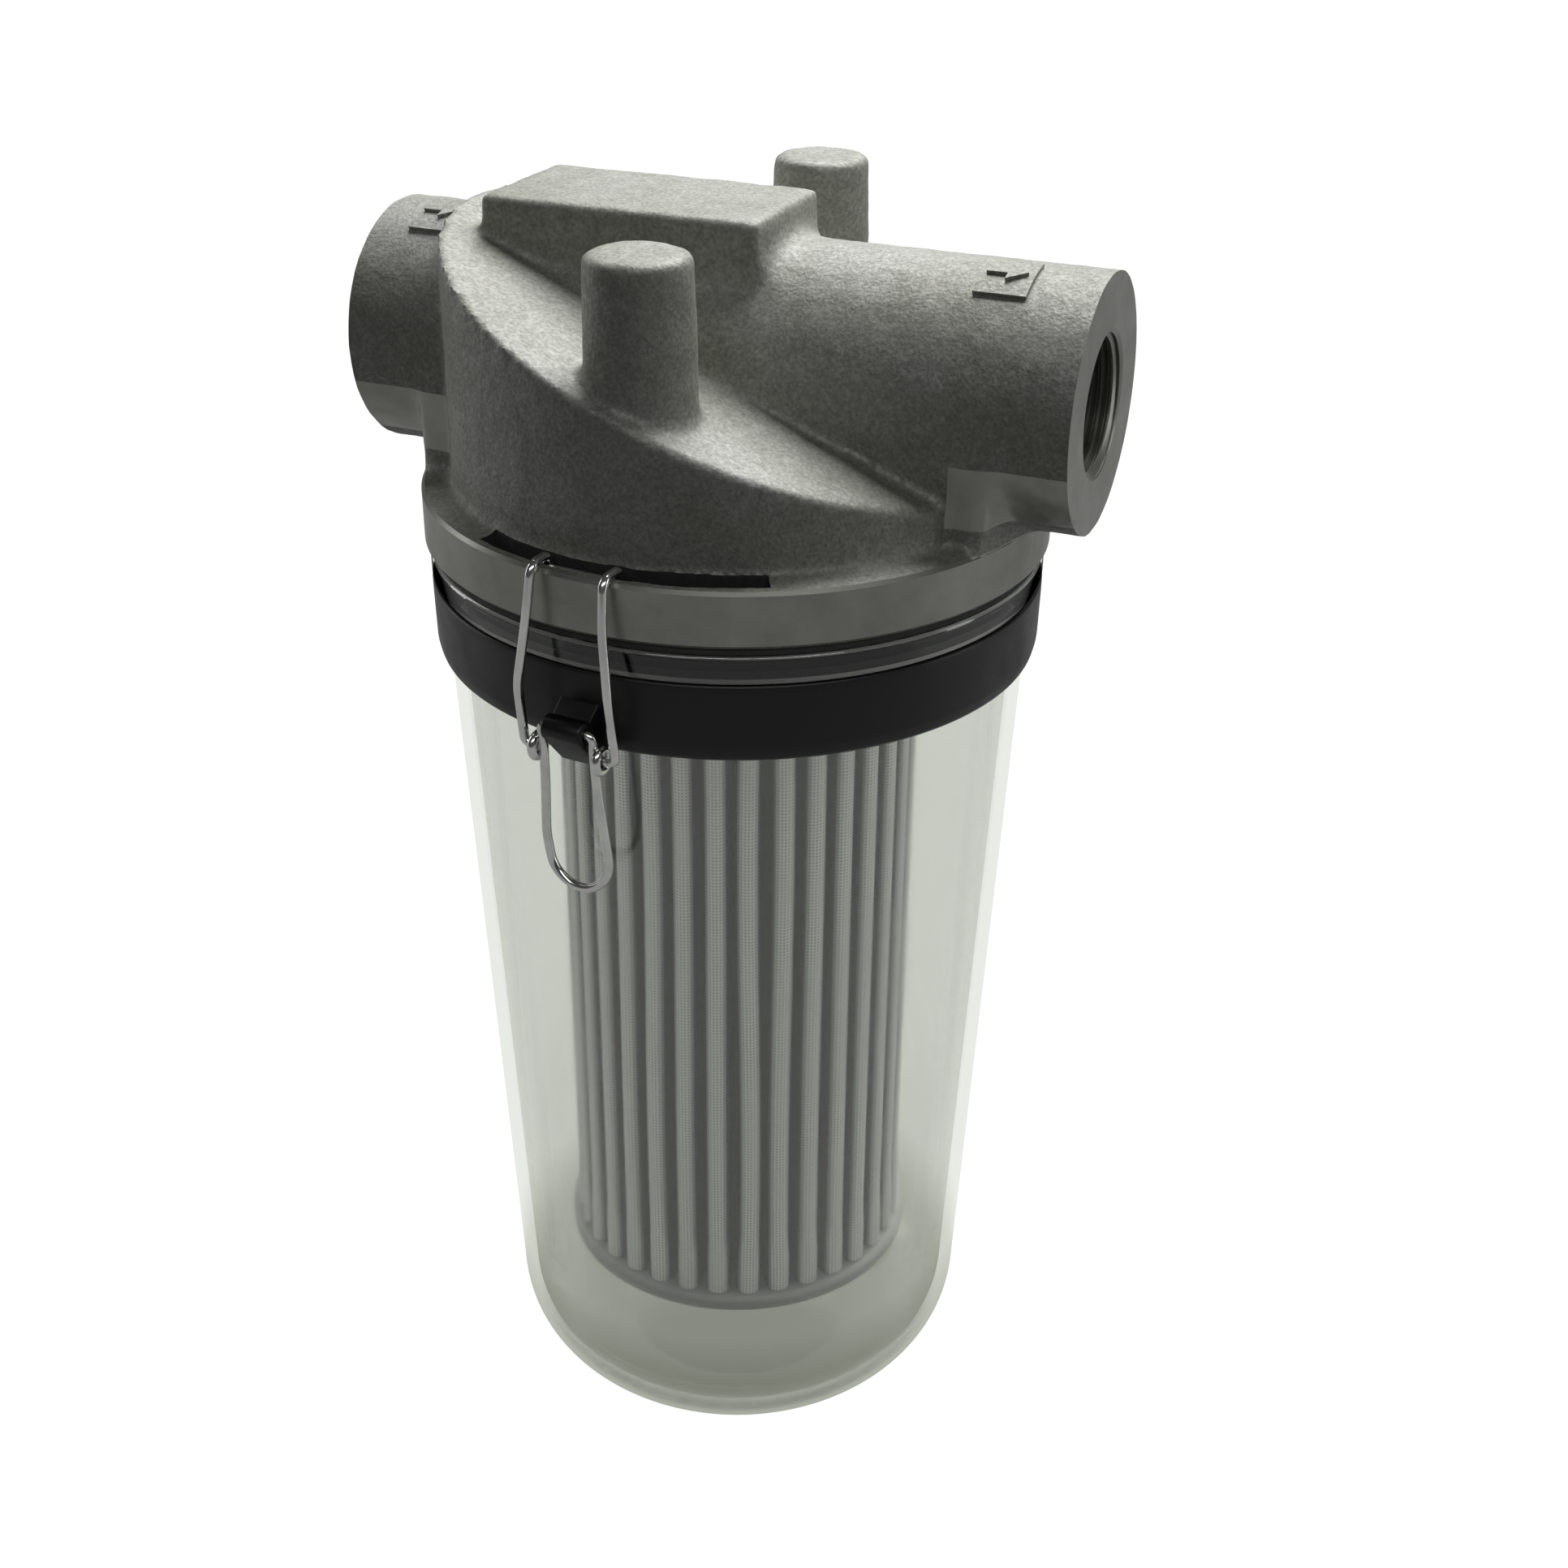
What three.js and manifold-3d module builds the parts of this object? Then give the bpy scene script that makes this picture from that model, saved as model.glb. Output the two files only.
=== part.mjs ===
// In-line filter with a cast head, a clear clip-on bowl and a pleated mesh element.
// Millimetres, +Z up. The origin is under the middle of the bowl, at its lowest point.
// Inside the group "assembly", z = 0 is the top edge of the head's round flange.
import * as THREE from 'three';
import { mergeVertices } from 'three/addons/utils/BufferGeometryUtils.js';
import Module from 'manifold-3d';

const wasm = await Module();
wasm.setup();

// ---- driving dimensions -------------------------------------------------------------------

const fitGap = 0.3;                 // between neighbours that are not pressed together
const stackGap = 0.05;              // between pieces stacked in the magnet sleeve

const flangeRadius = 76;            // head flange
const flangeHeight = 13.5;
const drumInset = 7.5;              // ledge round the foot of the drum
const slopeHeight = 33.4;           // sloping roof of the drum, measured on the axis
const slopeAngle = 21.3;            // degrees, high at the inlet and low at the outlet
const headWall = 6;

const pipeRadius = 29.4;            // cast pipe through the head
const pipeHeight = 27.6;            // its axis above the flange
const portStandOut = 12.3;          // port face beyond the flange's edge
const portBoreRadius = 15.15;       // one-inch pipe thread, minor diameter
const portChamfer = 1.6;
const neckHalfWidth = 32;

const padLeft = -56.6;              // flat cast pad on top of the pipe
const padRight = 12.7;
const padHalfWidth = 19.3;
const padTop = 64.4;
const bossOffset = 52.9;            // round bosses each side of the pipe
const bossRadius = 11.8;
const bossDraft = 1.5;
const bossTop = 65.2;

const spigotRadius = 20;            // outlet tube that the element hangs on
const spigotLength = 36;            // below the top of the flange
const lipWidth = 2.5;               // rim that the clips hook over
const pocketDepth = 3;
const pocketHalfAngle = 28.5;       // degrees

const gasketThickness = 2;
const bowlFlangeHeight = 7;
const bowlFlangeStep = 3.2;         // bowl flange beyond the bowl's wall
const bowlWall = 3.5;
const bowlLength = 267;             // flange top down to the lowest point of the bowl
const bowlTaper = 8.75;             // loss of radius from the ring down to the corner
const bowlCornerHeight = 30.7;
const bowlCornerExponent = 2.23;
const bowlFootRadius = 22.6;

const ringHeight = 19.1;
const ringEdge = 1.8;               // curved lower edge of the ring

const clipTurn = -5;                // degrees about the axis
const wireRadius = 1.1;
const wireSides = 6;
const pivotStandOut = 4.5;          // lever pivot beyond the head's flange
const pivotDrop = 35;
const eyeInset = 1.1;               // bail eye inside and under the pivot
const eyeDrop = 6;
const eyeRadius = 2.6;              // middle of the wire round the eye
const lugHalfWidth = 5;
const lugBarrel = 3;
const leverLength = 42;             // pivot down to the end of the finger loop
const leverHalfWidth = 8;
const bailTopHalfWidth = 9;
const bailMidHalfWidth = 12;
const bailBow = 2.9;                // how far the sprung legs bow outwards
const hookReach = 6.7;              // bail crossbar inside the bail's legs

const elementRadius = 46;           // tips of the pleats
const pleatDepth = 13;
const pleatCount = 34;
const meshThickness = 0.9;
const elementTop = 40;              // media, below the flange
const elementBottom = 219;
const capRadius = 47.6;
const capThickness = 5;
const capSkirt = 3;
const collarHeight = 11;            // on the top cap, round the spigot seal
const collarWall = 4;
const sealHeight = 8;
const sealWall = 3.6;
const coreWall = 1.2;
const windowRows = 5;
const windowWidth = 16;

const cupTopRadius = 19;            // cup under the element that holds the magnet rod
const cupBottomRadius = 12.5;
const cupDepth = 15;
const cupFloor = 4;
const magnetRadius = 8;
const magnetLength = 22;
const magnetCount = 6;
const poleThickness = 3;
const sleeveWall = 1.2;
const plugLength = 8;
const spiderThickness = 3;
const spiderRing = 2;
const spiderArmWidth = 3;
const spiderArms = 3;

// ---- sizes that follow --------------------------------------------------------------------

const drumRadius = flangeRadius - drumInset;
const portReach = flangeRadius + portStandOut;
const bossBaseRadius = bossRadius + bossDraft;
const gasketTop = -flangeHeight;
const bowlTop = gasketTop - gasketThickness;
const ringTop = bowlTop - bowlFlangeHeight;
const ringBottom = ringTop - ringHeight;
const bowlFlangeRadius = flangeRadius - 1.1;
const bowlNeckRadius = bowlFlangeRadius - bowlFlangeStep;
const ringInnerRadius = bowlNeckRadius + fitGap;
const cornerTop = -bowlLength + bowlCornerHeight;
const bowlLowRadius = bowlNeckRadius - bowlTaper;
const chamberRadius = bowlNeckRadius - bowlWall - headWall;
const pivotRadius = flangeRadius + pivotStandOut;
const eyeDistance = pivotRadius - eyeInset;
const eyeHeight = -pivotDrop - eyeDrop;
const legHeight = wireRadius + fitGap;
const legRadius = flangeRadius + wireRadius + 2 * fitGap;
const mediaInnerRadius = elementRadius - pleatDepth;
const coreRadius = mediaInnerRadius - fitGap;
const coreInnerRadius = coreRadius - coreWall;
const sealInnerRadius = spigotRadius + fitGap / 2;
const sealOuterRadius = sealInnerRadius + sealWall;
const collarInnerRadius = sealOuterRadius + fitGap / 2;
const capTopFace = -elementTop + capThickness;
const capBottomFace = -elementBottom - capThickness;
const sleeveInnerRadius = magnetRadius + fitGap;
const sleeveRadius = sleeveInnerRadius + sleeveWall;
const sleeveBottom = capBottomFace - cupDepth + cupFloor + stackGap;
const stackLength = magnetCount * magnetLength + (magnetCount - 1) * poleThickness
  + 2 * plugLength + 2 * magnetCount * stackGap;
const sleeveTop = sleeveBottom + stackLength;

// ---- materials ----------------------------------------------------------------------------

function finish(color, roughness, metalness) {
  return new THREE.MeshStandardMaterial({ color, roughness, metalness });
}

const castAluminium = () => finish(0xa3a39c, 0.55, 0.9);
const blackPlastic = () => finish(0x17181b, 0.4, 0);
const blackRubber = () => finish(0x141414, 0.8, 0);
const brightWire = () => finish(0xb9bcc0, 0.25, 1);
const meshSteel = () => finish(0x8c8f92, 0.45, 0.9);
const thinSteel = () => finish(0xc4c6c8, 0.35, 0.9);
const greyPlastic = () => finish(0xb4b8b6, 0.45, 0);
const magnetNickel = () => finish(0x9c9a92, 0.3, 1);
const nylon = () => finish(0x2a2b2e, 0.5, 0);

function clearPlastic() {
  const material = finish(0xd9e0da, 0.08, 0);
  material.transparent = true;
  material.opacity = 0.35;
  return material;
}

// ---- solid helpers ------------------------------------------------------------------------

function solid(geometry) {
  const bare = geometry.clone();
  bare.deleteAttribute('normal');
  bare.deleteAttribute('uv');
  const merged = mergeVertices(bare, 1e-4);
  return new wasm.Manifold(new wasm.Mesh({
    numProp: 3,
    vertProperties: new Float32Array(merged.attributes.position.array),
    triVerts: new Uint32Array(merged.index.array),
  }));
}

function geometryOf(manifold) {
  const mesh = manifold.getMesh();
  const geometry = new THREE.BufferGeometry();
  geometry.setAttribute('position', new THREE.BufferAttribute(mesh.vertProperties, 3));
  geometry.setIndex(new THREE.BufferAttribute(mesh.triVerts, 1));
  geometry.computeVertexNormals();
  return geometry;
}

// A body of revolution about Z. Points are [radius, z] and run from the bottom outwards and up.
function turned(points, segments) {
  const outline = points.map(([radius, z]) => new THREE.Vector2(radius, z));
  const closed = points[0][0] > 0;
  if (closed) outline.push(outline[0].clone());
  return new THREE.LatheGeometry(outline, segments).rotateX(Math.PI / 2);
}

function rod(radius, bottom, top, segments, topRadius = radius) {
  return turned([[0, bottom], [radius, bottom], [topRadius, top], [0, top]], segments);
}

function tube(inner, outer, bottom, top, segments) {
  return turned([[inner, bottom], [outer, bottom], [outer, top], [inner, top]], segments);
}

function block(low, high) {
  const size = high.map((value, i) => value - low[i]);
  const middle = high.map((value, i) => (value + low[i]) / 2);
  return new THREE.BoxGeometry(...size).translate(...middle);
}

// A rod along X between two x values.
function crossRod(radius, left, right, z, segments) {
  return rod(radius, left, right, segments).rotateY(Math.PI / 2).translate(0, 0, z);
}

// A prism on a sector of a ring, centred on -Y.
function sector(inner, outer, bottom, top, halfAngle) {
  const start = THREE.MathUtils.degToRad(-90 - halfAngle);
  const end = THREE.MathUtils.degToRad(-90 + halfAngle);
  const shape = new THREE.Shape();
  shape.absarc(0, 0, outer, start, end, false);
  shape.absarc(0, 0, inner, end, start, true);
  shape.closePath();
  const depth = top - bottom;
  return new THREE.ExtrudeGeometry(shape, { depth, bevelEnabled: false, curveSegments: 20 })
    .translate(0, 0, bottom);
}

// The space under a plane that falls from -X to +X, in a block wide enough for the head.
function underSlope(height) {
  const reach = 2 * portReach;
  const fall = Math.tan(THREE.MathUtils.degToRad(slopeAngle)) * reach;
  const shape = new THREE.Shape();
  shape.moveTo(-reach, -reach);
  shape.lineTo(reach, -reach);
  shape.lineTo(reach, height - fall);
  shape.lineTo(-reach, height + fall);
  shape.closePath();
  return new THREE.ExtrudeGeometry(shape, { depth: 2 * reach, bevelEnabled: false })
    .translate(0, 0, -reach)
    .rotateX(Math.PI / 2);
}

// A round wire through corner points, with each corner rounded.
function wire(corners, bend, step) {
  const path = new THREE.CurvePath();
  let last = corners[0];
  for (let i = 1; i < corners.length - 1; i += 1) {
    const corner = corners[i];
    const before = corners[i - 1].clone().sub(corner);
    const after = corners[i + 1].clone().sub(corner);
    const reach = Math.min(bend, before.length() / 2, after.length() / 2);
    const entry = corner.clone().addScaledVector(before.normalize(), reach);
    const exit = corner.clone().addScaledVector(after.normalize(), reach);
    if (entry.distanceTo(last) > 1e-3) path.add(new THREE.LineCurve3(last, entry));
    path.add(new THREE.QuadraticBezierCurve3(entry, corner, exit));
    last = exit;
  }
  path.add(new THREE.LineCurve3(last, corners[corners.length - 1]));
  const section = new THREE.Shape();
  for (let i = 0; i < wireSides; i += 1) {
    const angle = i * 2 * Math.PI / wireSides;
    section[i ? 'lineTo' : 'moveTo'](wireRadius * Math.cos(angle), wireRadius * Math.sin(angle));
  }
  section.closePath();
  const steps = Math.round(path.getLength() / step);
  return new THREE.ExtrudeGeometry(section, { steps, extrudePath: path, bevelEnabled: false });
}

const assembly = new THREE.Group();
assembly.position.z = bowlLength;

function place(name, geometry, material, parent = assembly) {
  const mesh = new THREE.Mesh(geometry, material);
  mesh.name = name;
  parent.add(mesh);
  return mesh;
}

// ---- head casting -------------------------------------------------------------------------

function headCasting() {
  const flangeEdge = 0.8;
  const flange = turned([
    [0, -flangeHeight], [flangeRadius - flangeEdge, -flangeHeight],
    [flangeRadius, -flangeHeight + flangeEdge], [flangeRadius, 0], [0, 0],
  ], 72);
  const drumHeight = slopeHeight + drumRadius;
  const drum = solid(rod(drumRadius, -flangeHeight / 2, drumHeight, 72))
    .intersect(solid(underSlope(slopeHeight)));
  const pipe = crossRod(pipeRadius, -portReach, portReach, pipeHeight, 48);
  const neckBlock = solid(block(
    [-portReach, -neckHalfWidth, -flangeHeight / 2], [portReach, neckHalfWidth, pipeHeight],
  ));
  const neck = neckBlock
    .intersect(solid(rod(flangeRadius, -flangeHeight, pipeHeight, 72)))
    .subtract(solid(block(
      [-drumRadius / 2, -neckHalfWidth * 2, -flangeHeight],
      [drumRadius / 2, neckHalfWidth * 2, pipeHeight * 2],
    )));
  const pad = block([padLeft, -padHalfWidth, pipeHeight], [padRight, padHalfWidth, padTop]);
  let casting = solid(flange).add(drum).add(solid(pipe)).add(neck).add(solid(pad));
  for (const side of [-1, 1]) {
    const boss = rod(bossBaseRadius, -flangeHeight / 2, bossTop, 32, bossRadius);
    casting = casting.add(solid(boss.translate(0, side * bossOffset, 0)));
  }

  // Dirty chamber under the roof, with the outlet passage left standing in it.
  const chamber = solid(rod(chamberRadius, -2 * flangeHeight, drumHeight, 64))
    .intersect(solid(underSlope(slopeHeight - headWall / Math.cos(THREE.MathUtils.degToRad(slopeAngle)))));
  const passage = solid(rod(spigotRadius, -spigotLength, pipeHeight, 40))
    .add(solid(crossRod(spigotRadius, 0, portReach - headWall, pipeHeight, 40)));
  casting = casting.subtract(chamber.subtract(passage)).add(
    solid(tube(portBoreRadius, spigotRadius, -spigotLength, 0, 40)),
  );

  // Outlet: down the spigot from the right port. Inlet: from the left port into the chamber.
  casting = casting
    .subtract(solid(rod(portBoreRadius, -2 * spigotLength, pipeHeight, 40)))
    .subtract(solid(new THREE.SphereGeometry(portBoreRadius, 24, 16).translate(0, 0, pipeHeight)))
    .subtract(solid(crossRod(portBoreRadius, 0, 2 * portReach, pipeHeight, 40)))
    .subtract(solid(crossRod(portBoreRadius, -2 * portReach, -chamberRadius + headWall, pipeHeight, 40)));
  for (const side of [-1, 1]) {
    const mouth = rod(portBoreRadius - 1, -portChamfer - 1, 1, 40, portBoreRadius + portChamfer + 1);
    const turn = mouth.rotateY(side * Math.PI / 2).translate(side * portReach, 0, pipeHeight);
    casting = casting.subtract(solid(turn));
  }

  // Pockets behind the rim, where the clips hook on.
  for (const turn of [0, Math.PI]) {
    const pocket = sector(
      drumRadius + fitGap, flangeRadius - lipWidth, -pocketDepth, 1, pocketHalfAngle,
    );
    casting = casting.subtract(solid(pocket.rotateZ(turn)));
  }
  return geometryOf(casting);
}

place('head_casting', headCasting(), castAluminium());
place('head_gasket', tube(
  bowlNeckRadius - bowlWall, bowlFlangeRadius - fitGap, bowlTop, gasketTop, 72,
), blackRubber());

// ---- bowl and its retaining ring ----------------------------------------------------------

// One quarter of a superellipse between the bowl's wall and its flat foot.
function bowlCorner(wallRadius, footRadius, top, bottom, steps) {
  const points = [];
  for (let i = 0; i <= steps; i += 1) {
    const angle = (i / steps) * Math.PI / 2;
    const power = 2 / bowlCornerExponent;
    const radius = footRadius + (wallRadius - footRadius) * Math.sin(angle) ** power;
    const z = top - (top - bottom) * Math.cos(angle) ** power;
    points.push([radius, z]);
  }
  return points;
}

function bowlShell() {
  const outer = bowlCorner(bowlLowRadius, bowlFootRadius, cornerTop, -bowlLength, 7);
  const inner = bowlCorner(
    bowlLowRadius - bowlWall, bowlFootRadius - bowlWall, cornerTop, -bowlLength + bowlWall, 7,
  );
  return turned([
    [0, -bowlLength], ...outer,
    [bowlNeckRadius, ringBottom], [bowlNeckRadius, ringTop],
    [bowlFlangeRadius, ringTop], [bowlFlangeRadius, bowlTop],
    [bowlNeckRadius - bowlWall, bowlTop], [bowlNeckRadius - bowlWall, ringBottom],
    ...inner.reverse(), [0, -bowlLength + bowlWall],
  ], 56);
}

function retainingRing() {
  let ring = solid(turned([
    [ringInnerRadius, ringBottom], [bowlFlangeRadius - ringEdge, ringBottom],
    [bowlFlangeRadius - ringEdge / 2, ringBottom + ringEdge / 2],
    [bowlFlangeRadius - 0.2, ringBottom + 2 * ringEdge],
    [bowlFlangeRadius, ringTop], [ringInnerRadius, ringTop],
  ], 72));
  const lug = new THREE.Shape();
  const root = ringInnerRadius + wireRadius;
  lug.moveTo(root, -pivotDrop + 2 * lugBarrel);
  lug.lineTo(root, ringBottom + ringEdge);
  lug.lineTo(bowlFlangeRadius + 2 * fitGap, ringBottom - 2 * ringEdge);
  lug.absarc(pivotRadius, -pivotDrop, lugBarrel, -0.4, Math.PI * 0.75, false);
  lug.closePath();
  const lugSolid = new THREE.ExtrudeGeometry(lug, {
    depth: 2 * lugHalfWidth, bevelEnabled: false, curveSegments: 8,
  });
  // The outline's x is the distance from the axis, and its y is height.
  lugSolid.translate(0, 0, -lugHalfWidth).rotateX(Math.PI / 2).rotateZ(-Math.PI / 2);
  const pin = crossRod(wireRadius + fitGap, -2 * lugHalfWidth, 2 * lugHalfWidth, -pivotDrop, 16);
  pin.translate(0, -pivotRadius, 0);
  const bored = solid(lugSolid).subtract(solid(pin));
  for (const turn of [clipTurn, clipTurn + 180]) ring = ring.add(bored.rotate([0, 0, turn]));
  return geometryOf(ring);
}

place('bowl', bowlShell(), clearPlastic());
place('retaining_ring', retainingRing(), blackPlastic());

// ---- the two over-centre clips ------------------------------------------------------------

// Points are [x, distance from the axis, z]; the clip is drawn on the -Y side.
function clipPoints(half) {
  const right = half.map(([x, radius, z]) => new THREE.Vector3(x, -radius, z));
  const left = half.map(([x, radius, z]) => new THREE.Vector3(-x, -radius, z)).reverse();
  return [...right, ...left];
}

const leverSide = lugHalfWidth + wireRadius + fitGap + 0.2;
const eyeSide = leverSide + 1.7;

function leverWire() {
  const loopBottom = -pivotDrop - leverLength;
  const corners = clipPoints([
    [lugHalfWidth - 1.5, pivotRadius, -pivotDrop],
    [leverSide, pivotRadius, -pivotDrop],
    [leverSide, eyeDistance, eyeHeight],
    [leverSide, eyeDistance, eyeHeight - eyeRadius - wireRadius],
    [leverHalfWidth, pivotRadius - 2, (eyeHeight + loopBottom) / 2],
    [leverHalfWidth, pivotRadius - 3.2, loopBottom],
    [leverHalfWidth / 2, pivotRadius - 3.2, loopBottom],
  ]);
  let lever = solid(wire(corners, 5.5, 2.4));
  for (const side of [-1, 1]) {
    const eye = new THREE.TorusGeometry(eyeRadius, wireRadius, wireSides, 12);
    eye.rotateY(Math.PI / 2).translate(side * eyeSide, -eyeDistance, eyeHeight);
    lever = lever.add(solid(eye));
  }
  return geometryOf(lever);
}

function bailWire() {
  const corners = clipPoints([
    [leverSide + wireRadius + fitGap, eyeDistance, eyeHeight],
    [bailMidHalfWidth, eyeDistance, eyeHeight],
    [bailMidHalfWidth - fitGap, (eyeDistance + legRadius) / 2 + bailBow, eyeHeight * 0.63],
    [(bailMidHalfWidth + 2 * bailTopHalfWidth) / 3, legRadius + bailBow / 2, eyeHeight / 4],
    [bailTopHalfWidth, legRadius, legHeight],
    [bailTopHalfWidth, legRadius - hookReach, legHeight],
  ]);
  return wire(corners, 2.6, 2.4);
}

['front', 'rear'].forEach((end, index) => {
  const clip = new THREE.Group();
  clip.rotation.z = THREE.MathUtils.degToRad(clipTurn + 180 * index);
  assembly.add(clip);
  place(`lever_${end}`, leverWire(), brightWire(), clip);
  place(`bail_${end}`, bailWire(), brightWire(), clip);
});

// ---- filter element -----------------------------------------------------------------------

function pleatedMedia() {
  const tip = 0.28;                 // share of a pleat taken by each rounded tip
  const outline = (shift) => {
    const points = [];
    for (let i = 0; i < pleatCount; i += 1) {
      for (const [share, radius] of [
        [-tip / 2, elementRadius], [tip / 2, elementRadius],
        [0.5 - tip / 2, mediaInnerRadius + meshThickness],
        [0.5 + tip / 2, mediaInnerRadius + meshThickness],
      ]) {
        const angle = (i + share) * 2 * Math.PI / pleatCount;
        points.push(new THREE.Vector2(
          (radius - shift) * Math.cos(angle), (radius - shift) * Math.sin(angle),
        ));
      }
    }
    return points;
  };
  const shape = new THREE.Shape(outline(0));
  shape.holes.push(new THREE.Path(outline(meshThickness)));
  const depth = elementBottom - elementTop - 2 * fitGap;
  return new THREE.ExtrudeGeometry(shape, { depth, bevelEnabled: false })
    .translate(0, 0, -elementBottom + fitGap);
}

function elementCore() {
  const bottom = -elementBottom + fitGap;
  const top = -elementTop - fitGap;
  let core = solid(tube(coreInnerRadius, coreRadius, bottom, top, 30));
  const pitch = (top - bottom) / windowRows;
  for (let row = 0; row < windowRows; row += 1) {
    for (let turn = 0; turn < 3; turn += 1) {
      const low = bottom + pitch * (row + 0.2);
      const cut = block(
        [-2 * coreRadius, -windowWidth / 2, low],
        [2 * coreRadius, windowWidth / 2, low + pitch * 0.6],
      );
      core = core.subtract(solid(cut.rotateZ(turn * Math.PI / 3)));
    }
  }
  return geometryOf(core);
}

place('element_media', pleatedMedia(), meshSteel());
place('element_core', elementCore(), thinSteel());
place('element_top_cap', turned([
  [spigotRadius + 3 * fitGap, -elementTop], [elementRadius + fitGap, -elementTop],
  [elementRadius + fitGap, -elementTop - capSkirt], [capRadius, -elementTop - capSkirt],
  [capRadius, capTopFace], [collarInnerRadius + collarWall, capTopFace],
  [collarInnerRadius + collarWall, capTopFace + collarHeight],
  [collarInnerRadius, capTopFace + collarHeight],
  [collarInnerRadius, capTopFace], [spigotRadius + 3 * fitGap, capTopFace],
], 40), greyPlastic());
place('element_gasket', tube(
  sealInnerRadius, sealOuterRadius, capTopFace, capTopFace + sealHeight, 40,
), blackRubber());
place('element_bottom_cap', turned([
  [0, capBottomFace - cupDepth], [cupBottomRadius, capBottomFace - cupDepth],
  [cupTopRadius, capBottomFace], [capRadius, capBottomFace],
  [capRadius, -elementBottom + capSkirt], [elementRadius + fitGap, -elementBottom + capSkirt],
  [elementRadius + fitGap, -elementBottom], [sleeveRadius + fitGap, -elementBottom],
  [sleeveRadius + fitGap, capBottomFace - cupDepth + cupFloor],
  [0, capBottomFace - cupDepth + cupFloor],
], 40), greyPlastic());

// ---- magnet rod inside the element --------------------------------------------------------

place('magnet_sleeve', tube(sleeveInnerRadius, sleeveRadius, sleeveBottom, sleeveTop, 20), thinSteel());
let level = sleeveBottom;
function stack(name, length, material) {
  place(name, rod(magnetRadius, level, level + length, 16), material);
  level += length + stackGap;
}
stack('magnet_plug_bottom', plugLength, nylon());
for (let i = 1; i <= magnetCount; i += 1) {
  stack(`magnet_${i}`, magnetLength, magnetNickel());
  if (i < magnetCount) stack(`pole_plate_${i}`, poleThickness, meshSteel());
}
stack('magnet_plug_top', plugLength, nylon());

function rodSpider() {
  const top = sleeveTop - stackGap;
  const bottom = top - spiderThickness;
  const hubInner = sleeveRadius + fitGap / 2;
  const rimOuter = coreInnerRadius - fitGap;
  let spider = solid(tube(hubInner, hubInner + spiderRing, bottom, top, 28))
    .add(solid(tube(rimOuter - spiderRing, rimOuter, bottom, top, 30)));
  for (let i = 0; i < spiderArms; i += 1) {
    const arm = block(
      [hubInner + spiderRing / 2, -spiderArmWidth / 2, bottom],
      [rimOuter - spiderRing / 2, spiderArmWidth / 2, top],
    );
    spider = spider.add(solid(arm.rotateZ(i * 2 * Math.PI / spiderArms)));
  }
  return geometryOf(spider);
}

place('rod_spider', rodSpider(), nylon());

const group = new THREE.Group();
group.add(assembly);
export default group;
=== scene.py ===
# In-line water filter: a sand-cast aluminium head, a clear bowl held by two wire clips,
# and a pleated wire-mesh element with a magnet rod inside it.
from math import cos, pi, radians, sin, sqrt, tan

import bmesh
import bpy
from mathutils import Matrix, Vector, noise


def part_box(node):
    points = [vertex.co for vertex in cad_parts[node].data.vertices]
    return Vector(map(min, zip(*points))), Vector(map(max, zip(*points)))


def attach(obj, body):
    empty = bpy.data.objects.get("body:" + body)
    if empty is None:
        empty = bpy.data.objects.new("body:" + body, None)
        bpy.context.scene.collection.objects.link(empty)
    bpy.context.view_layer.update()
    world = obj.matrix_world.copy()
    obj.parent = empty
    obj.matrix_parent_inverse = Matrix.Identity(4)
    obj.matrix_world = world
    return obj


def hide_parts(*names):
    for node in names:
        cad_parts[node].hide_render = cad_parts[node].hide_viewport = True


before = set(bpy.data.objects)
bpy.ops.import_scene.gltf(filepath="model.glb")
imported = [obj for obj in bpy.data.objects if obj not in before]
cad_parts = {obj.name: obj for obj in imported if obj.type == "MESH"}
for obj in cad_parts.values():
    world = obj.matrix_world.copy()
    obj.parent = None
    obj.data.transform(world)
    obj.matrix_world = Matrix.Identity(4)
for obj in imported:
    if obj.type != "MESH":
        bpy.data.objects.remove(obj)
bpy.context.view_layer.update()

# ---- camera, light and floor --------------------------------------------------------------
# A hand-held view from above and to the right of the front clip. One broad softbox hangs
# overhead, a strip stands at each side, and the floor is matt white paper.
camera_data = bpy.data.cameras.new("camera")
camera_data.sensor_width = 36.0
camera_data.lens = 47.83
camera = bpy.data.objects.new("camera", camera_data)
bpy.context.scene.collection.objects.link(camera)
camera.matrix_world = (
    Matrix.Translation((0.1888, -0.4422, 0.4402))
    @ Matrix.Rotation(radians(21.70), 4, "Z")
    @ Matrix.Rotation(radians(90 - 28.40), 4, "X")
    @ Matrix.Rotation(radians(0.62), 4, "Z")
)
bpy.context.scene.camera = camera
bpy.context.scene.view_settings.view_transform = "Standard"


def softbox(name, place, target, width, height, watts):
    """A rectangular lamp turned towards a target."""
    lamp = bpy.data.lights.new(name, "AREA")
    lamp.shape = "RECTANGLE"
    lamp.size = width
    lamp.size_y = height
    lamp.energy = watts
    obj = bpy.data.objects.new(name, lamp)
    obj.matrix_world = (
        Matrix.Translation(place)
        @ (Vector(place) - Vector(target)).to_track_quat("Z", "Y").to_matrix().to_4x4()
    )
    bpy.context.scene.collection.objects.link(obj)
    return obj


middle = (0.0, 0.0, 0.25)
softbox("overhead", (0.02, 0.70, 1.38), middle, 1.0, 0.9, 28)
softbox("right_strip", (1.25, 0.35, 0.45), middle, 0.3, 0.9, 2.2)
softbox("left_strip", (-1.2, 0.05, 0.50), middle, 0.25, 0.9, 2.2)
softbox("front_strip", (0.45, -0.90, 1.25), middle, 1.6, 0.22, 9).visible_diffuse = False


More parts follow.
